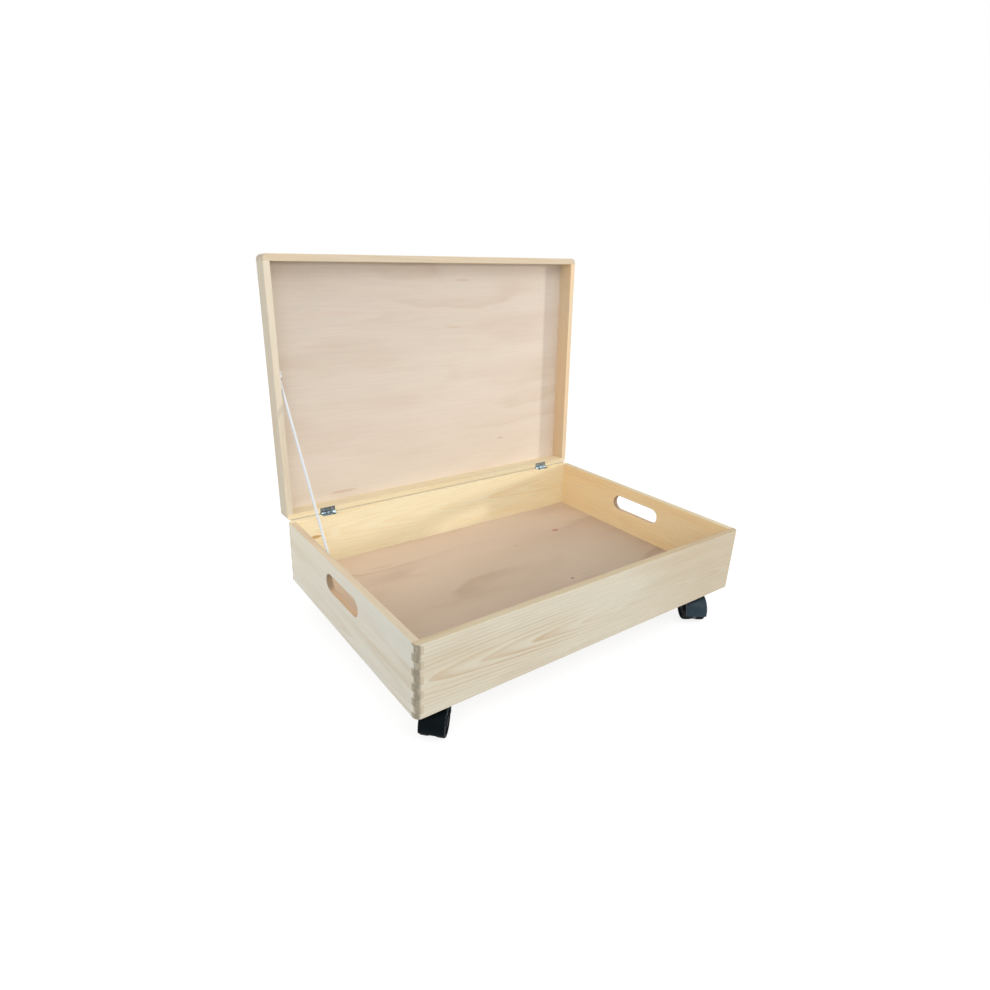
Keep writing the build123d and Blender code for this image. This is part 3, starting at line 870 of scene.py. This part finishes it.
def softened_copy(name: str, node: str, width: float) -> bpy.types.Object:
    """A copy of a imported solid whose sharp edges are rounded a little.

    Args:
        name: The new piece's name.
        node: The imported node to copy.
        width: Width of the rounding.

    Returns:
        The new piece, which stands for the node.
    """
    mesh = bmesh.new()
    mesh.from_mesh(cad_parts[node].data)
    bmesh.ops.remove_doubles(mesh, verts=mesh.verts, dist=10 * MERGE_DISTANCE)
    bmesh.ops.dissolve_limit(mesh, angle_limit=FLAT_LIMIT, use_dissolve_boundaries=False,
                             verts=mesh.verts, edges=mesh.edges, delimit=set())
    sharp = [edge for edge in mesh.edges if edge.calc_face_angle(0.0) > SHARP_LIMIT]
    bmesh.ops.bevel(mesh, geom=sharp, offset=width, offset_type="OFFSET", affect="EDGES", segments=2,
                    profile=0.5, material=-1, clamp_overlap=True, loop_slide=True)
    piece = new_piece(name, mesh)
    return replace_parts(piece, node)


def dress(nodes: Iterable[str], finish: bpy.types.Material) -> None:
    """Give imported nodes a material.

    Args:
        nodes: The nodes' names.
        finish: The material.
    """
    for node in nodes:
        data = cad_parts[node].data
        data.materials.clear()
        data.materials.append(finish)
        LOG.info("dressed %s with %s", node, finish.name)


def settle(piece: bpy.types.Object, body: str, finish: bpy.types.Material) -> None:
    """Dress a new piece and let it ride on a body.

    Args:
        piece: The piece.
        body: The body that it moves with.
        finish: The material.
    """
    piece.data.materials.append(finish)
    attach(piece, body)
    LOG.info("made %s on %s", piece.name, body)


# Sub-assemblies

@dataclass
class Studio:
    """Camera, lamps, plain white surroundings and the floor."""

    camera_at: Point = (-0.747338, MIDDLE_Y - 0.875488, 0.697911)
    yaw: float = math.radians(34.2692)
    pitch: float = math.radians(20.7571)
    roll: float = math.radians(1.3241)
    lens: float = 22.7742
    sensor: float = 36.0
    shift: tuple[float, float] = (0.043262, -0.0057806)
    key_from: Point = (0.81, -0.58, 0.105)
    key_strength: float = 0.97
    key_spread: float = math.radians(5.0)
    key_colour: Colour = (1.0, 0.96, 0.90)
    soft_lamps: tuple[tuple[str, Point, float, float], ...] = (
        ("overhead", (-0.2, -0.6, 2.4), 3.7, 2.2),
        ("front_top", (0.2, -1.6, 2.2), 11.0, 1.2),
        ("front_left", (-1.8, -1.7, 1.3), 8.5, 1.6),
    )
    lamps_toward: Point = (0, 0, 0.25)
    ambient: float = 0.83
    ambient_colour: Colour = (0.98, 0.99, 1.0)
    floor_radius: float = 14.0
    floor_grey: float = 0.80
    floor_grey_seen: float = 0.26
    floor_glow: float = 0.84

    def camera(self) -> None:
        """Set the camera where the photograph was taken from."""
        level = Vector((math.sin(self.yaw), math.cos(self.yaw), 0))
        forward = level * math.cos(self.pitch) - Vector((0, 0, math.sin(self.pitch)))
        right = Vector((level.y, -level.x, 0))
        upright = Matrix((right, right.cross(forward), -forward)).transposed()
        turn = upright @ Matrix.Rotation(self.roll, 3, "Z")
        data =bpy.data.cameras.new("camera")
        data.sensor_width = self.sensor
        data.lens = self.lens
        data.shift_x, data.shift_y = self.shift
        data.clip_start, data.clip_end = 0.01, 50.0
        camera = bpy.data.objects.new("camera", data)
        camera.matrix_world = Matrix.Translation(self.camera_at) @ turn.to_4x4()
        bpy.context.scene.collection.objects.link(camera)
        bpy.context.scene.camera = camera

    def lamp(self, name: str, kind: str, at: Point, toward: Point, **settings: Any) -> None:
        """Add a lamp.

        Args:
            name: The lamp's name.
            kind: The lamp's type.
            at: Where it stands.
            toward: The point that it shines at.
            **settings: The lamp's own settings.
        """
        data = bpy.data.lights.new(name, kind)
        for key, value in settings.items():
            setattr(data, key, value)
        lamp = bpy.data.objects.new(name, data)
        away = Vector(at) - Vector(toward)
        lamp.matrix_world = Matrix.Translation(at) @ away.to_track_quat("Z", "Y").to_matrix().to_4x4()
        bpy.context.scene.collection.objects.link(lamp)

    def lamps(self) -> None:
        """Add a low key light from the right front and three wide, soft ones."""
        self.lamp("key", "SUN", self.key_from, (0, 0, 0), energy=self.key_strength, angle=self.key_spread,
                  color=self.key_colour)
        for name, at, power, size in self.soft_lamps:
            self.lamp(name, "AREA", at, self.lamps_toward, energy=power, shape="DISK", size=size)

    def seen_directly(self, graph: NodeGraph) -> Socket:
        """1 where the surroundings are seen by the camera, in a gloss or through glass.

        Args:
            graph: The nodes of the world or floor.

        Returns:
            The share.
        """
        path = graph.node("ShaderNodeLightPath").outputs
        seen = graph.math("MAXIMUM", path["Is Camera Ray"], path["Is Glossy Ray"])
        return graph.math("MAXIMUM", seen, path["Is Transmission Ray"])

    def surroundings(self) -> None:
        """Light the scene evenly from all round, with a white background."""
        world = bpy.data.worlds.new("surroundings")
        graph = NodeGraph(world)
        seen = self.seen_directly(graph)
        colour = graph.mix(seen, self.ambient_colour, (1.0, 1.0, 1.0))
        strength = graph.math("MULTIPLY_ADD", seen, 1.0 - self.ambient, self.ambient)
        back = graph.node("ShaderNodeBackground", {"Color": colour, "Strength": strength})
        graph.node("ShaderNodeOutputWorld", {"Surface": back.outputs[0]})
        bpy.context.scene.world = world

    def floor(self) -> None:
        """Lay a plain pale floor that keeps the chest's shadow."""
        mesh = bmesh.new()
        bmesh.ops.create_circle(mesh, cap_ends=True, segments=128, radius=self.floor_radius)
        floor = new_piece("floor", mesh)
        material = bpy.data.materials.new("pale_floor")
        graph = NodeGraph(material)
        seen = self.seen_directly(graph)
        matt, soft = (graph.node("ShaderNodeBsdfDiffuse", {"Color": (grey, grey, grey, 1.0)})
                      for grey in (self.floor_grey, self.floor_grey_seen))
        glow = graph.node("ShaderNodeEmission", {"Strength": self.floor_glow})
        lifted = graph.node("ShaderNodeAddShader", {0: soft.outputs[0], 1: glow.outputs[0]})
        both = graph.node("ShaderNodeMixShader", {0: seen, 1: matt.outputs[0], 2: lifted.outputs[0]})
        graph.node("ShaderNodeOutputMaterial", {"Surface": both.outputs[0]})
        floor.data.materials.append(material)

    def build(self) -> None:
        """Set up the whole studio."""
        self.camera()
        self.lamps()
        self.surroundings()
        self.floor()
        bpy.context.scene.view_settings.view_transform = "Standard"
        LOG.info("set up the studio")


@dataclass
class CordStay:
    """The braided cord that holds the lid, its knots and the two screw eyes."""

    low_eye: Point = (-0.3563, MIDDLE_Y + 0.0884, 0.172)
    high_eye: Point = opened((-0.3563, MIDDLE_Y - 0.0287, LID_RIM_Z + 0.026))
    knot_offset: float = 0.0046476
    radius: float = 0.0025
    strands: int = 8
    lay: float = 0.022
    braid_depth: float = 0.00022
    knot_wrap: float = 0.0046
    knot_core: float = 0.0015
    knot_strand: float = 0.0021
    knot_turns: int = 2
    knot_corners: int = 14
    knot_rise: float = 0.0044
    knot_stand_off: float = 0.0014
    tail: float = 0.009
    bead_length: float = 0.0016
    bead_swell: float = 1.08
    spline_swell: float = 1.03
    ring_radius: float = 0.0044
    wire: float = 0.0012
    stem_reach: float = 0.0142
    thread_length: float = 0.0072
    thread_pitch: float = 0.0011
    thread_depth: float = 0.00035
    point_length: float = 0.003

    @property
    def heading(self) -> Vector:
        """Direction of the cord, from the box up to the lid."""
        return (Vector(self.high_eye) - Vector(self.low_eye)).normalized()

    @property
    def low(self) -> Point:
        """Middle of the knot behind the box's eye."""
        return tuple(Vector(self.low_eye) - self.heading * self.knot_offset)

    @property
    def high(self) -> Point:
        """Middle of the knot behind the lid's eye."""
        return tuple(Vector(self.high_eye) + self.heading * self.knot_offset)

    @property
    def length(self) -> float:
        """Length of the cord from knot to knot."""
        return (Vector(self.high) - Vector(self.low)).length

    def braided(self, turn: float, run: float, radius: float | None = None) -> float:
        """Radius of the braid at a point of its surface.

        Args:
            turn: Turn round the cord, from 0 to 1.
            run: Length along the cord.
            radius: Outside radius, the cord's own when left out.

        Returns:
            The radius there.
        """
        around, climb = self.strands * math.tau * turn, math.tau * self.strands * run / self.lay
        raised = max(math.cos(around + climb), math.cos(around - climb))
        return (radius or self.radius) - self.braid_depth * (0.5 - 0.5 * raised)

    def cord(self) -> bpy.types.Object:
        """Make the cord from knot to knot.

        Returns:
            The cord.
        """
        middle = (Vector(self.low) + Vector(self.high)) / 2
        self.path = route_points("stay_route", (self.low, middle, self.high), 240)
        mesh = bmesh.new()
        add_tube(mesh, self.path, 40, self.braided)
        return new_piece("lid_stay_cord", mesh)

    def knot(self, name: str, end: Vector, before: Vector) -> bpy.types.Object:
        """Make a barrel knot behind an eye, with its sealed tail.

        Args:
            name: The knot's name.
            end: The end of the cord's route that it is tied in.
            before: The route's point before that end.

        Returns:
            The knot.
        """
        outwards = (end - before).normalized()
        eye = end - outwards * self.knot_offset
        across = Vector((1, 0, 0))
        other = outwards.cross(across)
        start = self.knot_stand_off + self.knot_strand
        half, total = self.knot_corners // 2, self.knot_corners * self.knot_turns
        route = []
        for index in range(-half, total + half + 1):
            inside = max(0, -index, index - total) / half
            wrap = self.knot_wrap * self.spline_swell - inside * (self.knot_wrap - self.knot_core)
            angle = math.tau * index / self.knot_corners
            rise = start + self.knot_rise * min(max(index, 0), total) / self.knot_corners
            route.append(eye + outwards * rise + (across * math.cos(angle) + other * math.sin(angle)) * wrap)
        mesh = bmesh.new()
        add_tube(mesh, route_points(name, route, 4), 20,
                 lambda turn, run: self.braided(turn, run, self.knot_strand))
        foot = eye + outwards * (start + self.knot_rise * self.knot_turns - 0.001)
        tip = foot + outwards * self.tail + other * 0.0012
        bend = foot + outwards * (0.5 * self.tail) + other * 0.0001
        add_tube(mesh, route_points(name, (foot, bend, tip), 12), 28, self.tail_radius)
        return new_piece(name, mesh)

    def tail_radius(self, turn: float, run: float) -> float:
        """Radius of the tail, which swells to a melted bead at its end.

        Args:
            turn: Turn round the tail.
            run: Length along it.

        Returns:
            The radius there.
        """
        left = self.tail - run
        if left > self.bead_length:
            return self.braided(turn, run)
        share = min(1.0, max(0.0, 1 - left / self.bead_length))
        return self.radius * (self.bead_swell * math.sqrt(max(0.02, 1 - share ** 2.5)))

    def eye(self, name: str, node: str, centre: Point) -> bpy.types.Object:
        """Make a screw eye: a straight shank, a neck and an almost closed ring.

        Args:
            name: The eye's name.
            node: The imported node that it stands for.
            centre: Centre of the ring.

        Returns:
            The eye.
        """
        along = Vector((1, 0, 0))
        up = self.heading.cross(along)
        flat = [(-self.stem_reach, 0.0), (-0.0115, 0.0), (-0.0088, 0.0), (-0.0070, 0.0), (-0.0056, 0.0001)]
        bend = self.ring_radius * self.spline_swell
        for degrees in range(165, -170, -22):
            angle = math.radians(degrees)
            flat.append((bend * math.cos(angle), bend * math.sin(angle)))
        route = [Vector(centre) + along * x + up * y for x, y in flat]
        mesh = bmesh.new()
        add_tube(mesh, route_points(name, route, 6), 20, self.wire_radius)
        piece = new_piece(name, mesh)
        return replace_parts(piece, node)

    def wire_radius(self, turn: float, run: float) -> float:
        """Radius of the eye's wire, which is threaded at its foot.

        Args:
            turn: Turn round the wire.
            run: Length along it.

        Returns:
            The radius there.
        """
        if run > self.thread_length:
            return self.wire
        thread = abs(((run / self.thread_pitch - turn) % 1.0) - 0.5)
        return (self.wire + self.thread_depth * thread) * min(1.0, 0.15 + run / self.point_length)

    def build(self, white: bpy.types.Material, zinc: bpy.types.Material) -> None:
        """Args:
            white: Finish of the cord.
            zinc: Finish of the eyes.
        """
        cord = self.cord()
        low = self.knot("stay_knot_on_box", *self.path[:2])
        high = self.knot("stay_knot_on_lid", *self.path[:-3:-1])
        cord.data.materials.append(white)
        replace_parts(cord, "stay_cord")
        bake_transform(cord)
        self.length
        LOG.info("made %s between box and lid", cord.name)
        settle(low, "box", white)
        settle(high, "lid", white)
        settle(self.eye("stay_eye_on_box", "stay_body_eye", self.low_eye), "box", zinc)
        settle(self.eye("stay_eye_on_lid", "stay_lid_eye", self.high_eye), "lid", zinc)


@dataclass
class ChestBox:
    """The finger-jointed box, its plywood floor and the battens under it."""

    front: PineFinish = PineFinish(
        "pine_front_board", GrainAxis.LENGTHWISE, (0.118, MIDDLE_Y - 0.2442), (-0.025, -0.058), 3.1, 0.0058,
        pale=(0.605, 0.558, 0.445), late=(0.47, 0.35, 0.22), contrast=0.95, wobble=0.0034,
        calm=(-0.17, -0.02, 0.42), warm=(0.02, 0.32, 0.42), rim=(0.97, 0.885, 0.76), fingers=BODY_FINGERS)
    back: PineFinish = PineFinish(
        "pine_back_board", GrainAxis.LENGTHWISE, (0.147, MIDDLE_Y + 0.268), (0.0, -0.03), 8.7,
        pale=(0.93, 0.83, 0.58), late=(0.86, 0.63, 0.31), sapwood=(0.92, 0.86, 0.66), end=(0.60, 0.50, 0.35),
        contrast=0.85, warm=(0.0, 0.30, 0.20), fingers=BODY_FINGERS, seam=True,
        knots=(Knot(-0.323, 0.1475, 0.012, 0.0035, (0.62, 0.34, 0.12)),))
    left: PineFinish = PineFinish(
        "pine_left_board", GrainAxis.DEPTHWISE, (0.085, -0.32), (-0.02, -0.02), 5.3,
        pale=(0.80, 0.755, 0.635), late=(0.64, 0.52, 0.37), sapwood=(0.735, 0.735, 0.66),
        end=(0.52, 0.44, 0.32), streaks=0.6, painted_light_slope=(0.36, 0.0), warm=(-0.20, 0.0, 0.10),
        rim=(0.89, 0.775, 0.66), slot=(0.61, 0.41, 0.25), fingers=BODY_FINGERS)
    right: PineFinish = PineFinish(
        "pine_right_board", GrainAxis.DEPTHWISE, (0.10, 0.33), (-0.01, 0.02), 11.9,
        pale=(0.975, 0.77, 0.462), late=(0.88, 0.59, 0.28), sapwood=(0.975, 0.81, 0.54),
        end=(0.62, 0.46, 0.30), contrast=0.65, painted_light_slope=(-0.12, 0.0), rim=(0.70, 0.77, 0.91),
        slot=(0.64, 0.44, 0.27), fingers=BODY_FINGERS)
    batten: PineFinish = PineFinish("pine_battens", GrainAxis.BATTEN, (0.0, 0.10), (0.02, 0.01), 14.2)
    ply: PlywoodFinish = PlywoodFinish(
        "plywood_floor", 2.4, (0.585, 0.462, 0.352), (0.44, 0.32, 0.23), 0.65, painted_light_slope=(-0.2, 1.15),
        swirls=(Knot(-0.055, 0.080, 0.110, 0.022, rings_pushed=1.1),
                Knot(-0.218, 0.133, 0.045, 0.010, rings_pushed=0.8)),
        marks=(Knot(0.2254, 0.0865, 0.011, 0.006, (0.42, 0.15, 0.11), 0.75),
               Knot(0.0942, -0.1086, 0.0045, 0.0035, (0.14, 0.09, 0.07), 0.85),
               Knot(0.090, 0.070, 0.006, 0.004, (0.46, 0.28, 0.20), 0.4)))

    def build(self) -> None:
        """Dress the box's boards."""
        for side in ("front", "back", "left", "right"):
            dress([f"{side}_board"], getattr(self, side).make())
        dress(["left_castor_batten", "right_castor_batten"], self.batten.make())
        dress(["bottom_panel"], self.ply.make())


@dataclass
class ChestLid:
    """The finger-jointed lid frame and its plywood panel."""

    front: PineFinish = PineFinish(
        "pine_lid_front", GrainAxis.LENGTHWISE, (0.24, MIDDLE_Y - 0.215), (0.008, 0.03), 21.4,
        pale=(0.72, 0.62, 0.46), late=(0.64, 0.48, 0.28), end=LID_END, rim=(0.88, 0.85, 0.84), **LID_WOOD)
    back: PineFinish = PineFinish(
        "pine_lid_back", GrainAxis.LENGTHWISE, (0.12, MIDDLE_Y + 0.19), (0.01, 0.02), 24.8,
        pale=(0.81, 0.70, 0.485), late=(0.75, 0.55, 0.28), end=(0.66, 0.56, 0.40), seam=True, **LID_WOOD)
    left: PineFinish = PineFinish(
        "pine_lid_left", GrainAxis.DEPTHWISE, (0.15, -0.345), (0.01, 0.03), 27.2,
        pale=(0.69, 0.61, 0.485), late=(0.64, 0.51, 0.33), end=LID_END, **LID_WOOD)
    right: PineFinish = PineFinish(
        "pine_lid_right", GrainAxis.DEPTHWISE, (0.14, 0.35), (0.01, 0.03), 31.6,
        pale=(0.80, 0.605, 0.39), late=(0.70, 0.48, 0.26), end=LID_END, **LID_WOOD)
    ply: PlywoodFinish = PlywoodFinish(
        "plywood_lid", 6.1, (0.69, 0.60, 0.505), (0.60, 0.48, 0.375), 0.60, painted_light_slope=(0.26, 0.55),
        swirls=(Knot(-0.206, -0.172, 0.095, 0.024, rings_pushed=1.4),),
        marks=(Knot(-0.240, -0.167, 0.100, 0.0075, (0.58, 0.44, 0.36), 0.32),
               Knot(-0.250, -0.109, 0.075, 0.0060, (0.58, 0.44, 0.36), 0.26),
               Knot(0.0725, -0.2299, 0.024, 0.0032, (0.50, 0.34, 0.23), 0.45),
               Knot(0.185, 0.1382, 0.012, 0.003, (0.48, 0.34, 0.24), 0.5),
               Knot(0.0506, -0.1313, 0.028, 0.0026, (0.52, 0.36, 0.24), 0.4),
               Knot(-0.2377, 0.196, 0.036, 0.0045, (0.52, 0.34, 0.26), 0.45)),
        on_lid=True)

    def build(self) -> None:
        """Dress the lid's boards."""
        for side in ("front", "back", "left", "right"):
            dress([f"lid_{side}_board"], getattr(self, side).make())
        dress(["lid_panel"], self.ply.make())


@dataclass
class HingePair:
    """The two butt hinges let into the rims."""

    sides: tuple[str, str] = ("left", "right")
    # The leaves that lie face up get a bright copy of the zinc, whose deep patches are painted glints and
    # dark reflections
    lit_leaf: ZincFinish = ZincFinish("zinc_leaf_painted_glints", (0.74, 0.88, 0.93), 0.20, 150.0, 0.10)

    def build(self, zinc: bpy.types.Material, steel: bpy.types.Material) -> None:
        """Dress the hinges.

        Args:
            zinc: Finish of the lid's leaves and the pins.
            steel: Finish of the screws.
        """
        dress([f"{side}_hinge_body_leaf" for side in self.sides], self.lit_leaf.make())
        for side in self.sides:
            dress([f"{side}_hinge_{part}" for part in ("lid_leaf", "pin")], zinc)
        dress(["hinge_body_screws", "hinge_lid_screws"], steel)


@dataclass
class Castor:
    """One twin-wheel castor under a corner of the box."""

    name: str
    swivel_at: tuple[float, float]
    turned_degrees: float
    trail: float = 0.023
    axle_height: float = 0.025
    web: float = 0.0088
    side_gap: float = 0.0005
    steps: int = 96

    @property
    def place(self) -> Matrix:
        """Place of the axle's middle, with the axle along local Y.

        Returns:
            The place.
        """
        swivel = Matrix.Translation((*self.swivel_at, 0))
        return (swivel @ Matrix.Rotation(math.radians(self.turned_degrees), 4, "Z")
                @ Matrix.Translation((self.trail, 0, self.axle_height)))

    def wheel(self, which: str, side: int) -> bpy.types.Object:
        """Make a wheel with a crowned tread, a dished face and a hub cap.

        Args:
            which: "inner" or "outer".
            side: -1 or 1, the wheel's side along the axle.

        Returns:
            The wheel.
        """
        mesh = bmesh.new()
        turned_profile(mesh, [(radius / 1000, height / 1000) for radius, height in WHEEL_OUTLINE], self.steps)
        start = side * (self.web / 2 + self.side_gap)
        place = self.place @ Matrix.Translation((0, start, 0)) @ Matrix.Rotation(-side * math.pi / 2, 4, "X")
        piece = new_piece(f"{self.name}_{which}_wheel_moulding", mesh, place)
        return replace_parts(piece, f"{self.name}_{which}_wheel")

    def build(self, black: bpy.types.Material, tread: bpy.types.Material, steel: bpy.types.Material) -> None:
        """Make and dress the castor.

        Args:
            black: Finish of the hood.
            tread: Finish of the wheels.
            steel: Finish of the plate, pin and axle.
        """
        hood = softened_copy(f"{self.name}_castor_hood_moulding", f"{self.name}_castor_hood", 0.0005)
        settle(hood, f"{self.name}_castor", black)
        for which, side in (("inner", -1), ("outer", 1)):
            settle(self.wheel(which, side), f"{self.name}_{which}_wheel", tread)
        dress([f"{self.name}_castor_{part}" for part in ("plate", "kingpin", "axle")], steel)


@dataclass
class CastorSet:
    """The four castors and the screws that hold their plates."""

    castors: tuple[Castor, ...] = (
        Castor("front_left", (-0.31, MIDDLE_Y - 0.208), 225.5),
        Castor("front_right", (0.31, MIDDLE_Y - 0.208), 236.5),
        Castor("rear_left", (-0.31, MIDDLE_Y + 0.208), 52.0),
        Castor("rear_right", (0.31, MIDDLE_Y + 0.208), 221.0),
    )

    def build(self, steel: bpy.types.Material) -> None:
        """Make and dress all four castors.

        Args:
            steel: Finish of the metal parts.
        """
        black = PlasticFinish("black_nylon").make()
        # The front right hood gets a greyer, bluer copy of the black nylon, with bright blue patches: painted
        # sheen
        sheen_nylon = PlasticFinish("nylon_painted_sheen", (0.014, 0.032, 0.046), (0.045, 0.075, 0.10), 0.30, 0.26).make()
        tread = PlasticFinish("black_tread", (0.003, 0.006, 0.007), (0.010, 0.015, 0.018), 0.44).make()
        for castor in self.castors:
            castor.build(sheen_nylon if castor.name == "front_right" else black, tread, steel)
        dress(["castor_plate_screws"], steel)


def main() -> None:
    """Build the studio and every sub-assembly, with the camera and the cord first."""
    logging.basicConfig(level=logging.INFO, format="%(name)s: %(message)s")
    Studio().build()
    stay = CordStay()
    zinc = ZincFinish("zinc_plate").make()
    steel = ZincFinish("screw_steel", (0.44, 0.48, 0.50), 0.34).make()
    bright = ZincFinish("bright_eye_wire", (0.86, 0.88, 0.90), 0.34, 260.0, 0.85).make()
    stay.build(CordFinish("white_braid", stay.strands, stay.lay).make(), bright)
    ChestBox().build()
    ChestLid().build()
    HingePair().build(zinc, steel)
    CastorSet().build(steel)


if __name__ == "__main__":
    main()
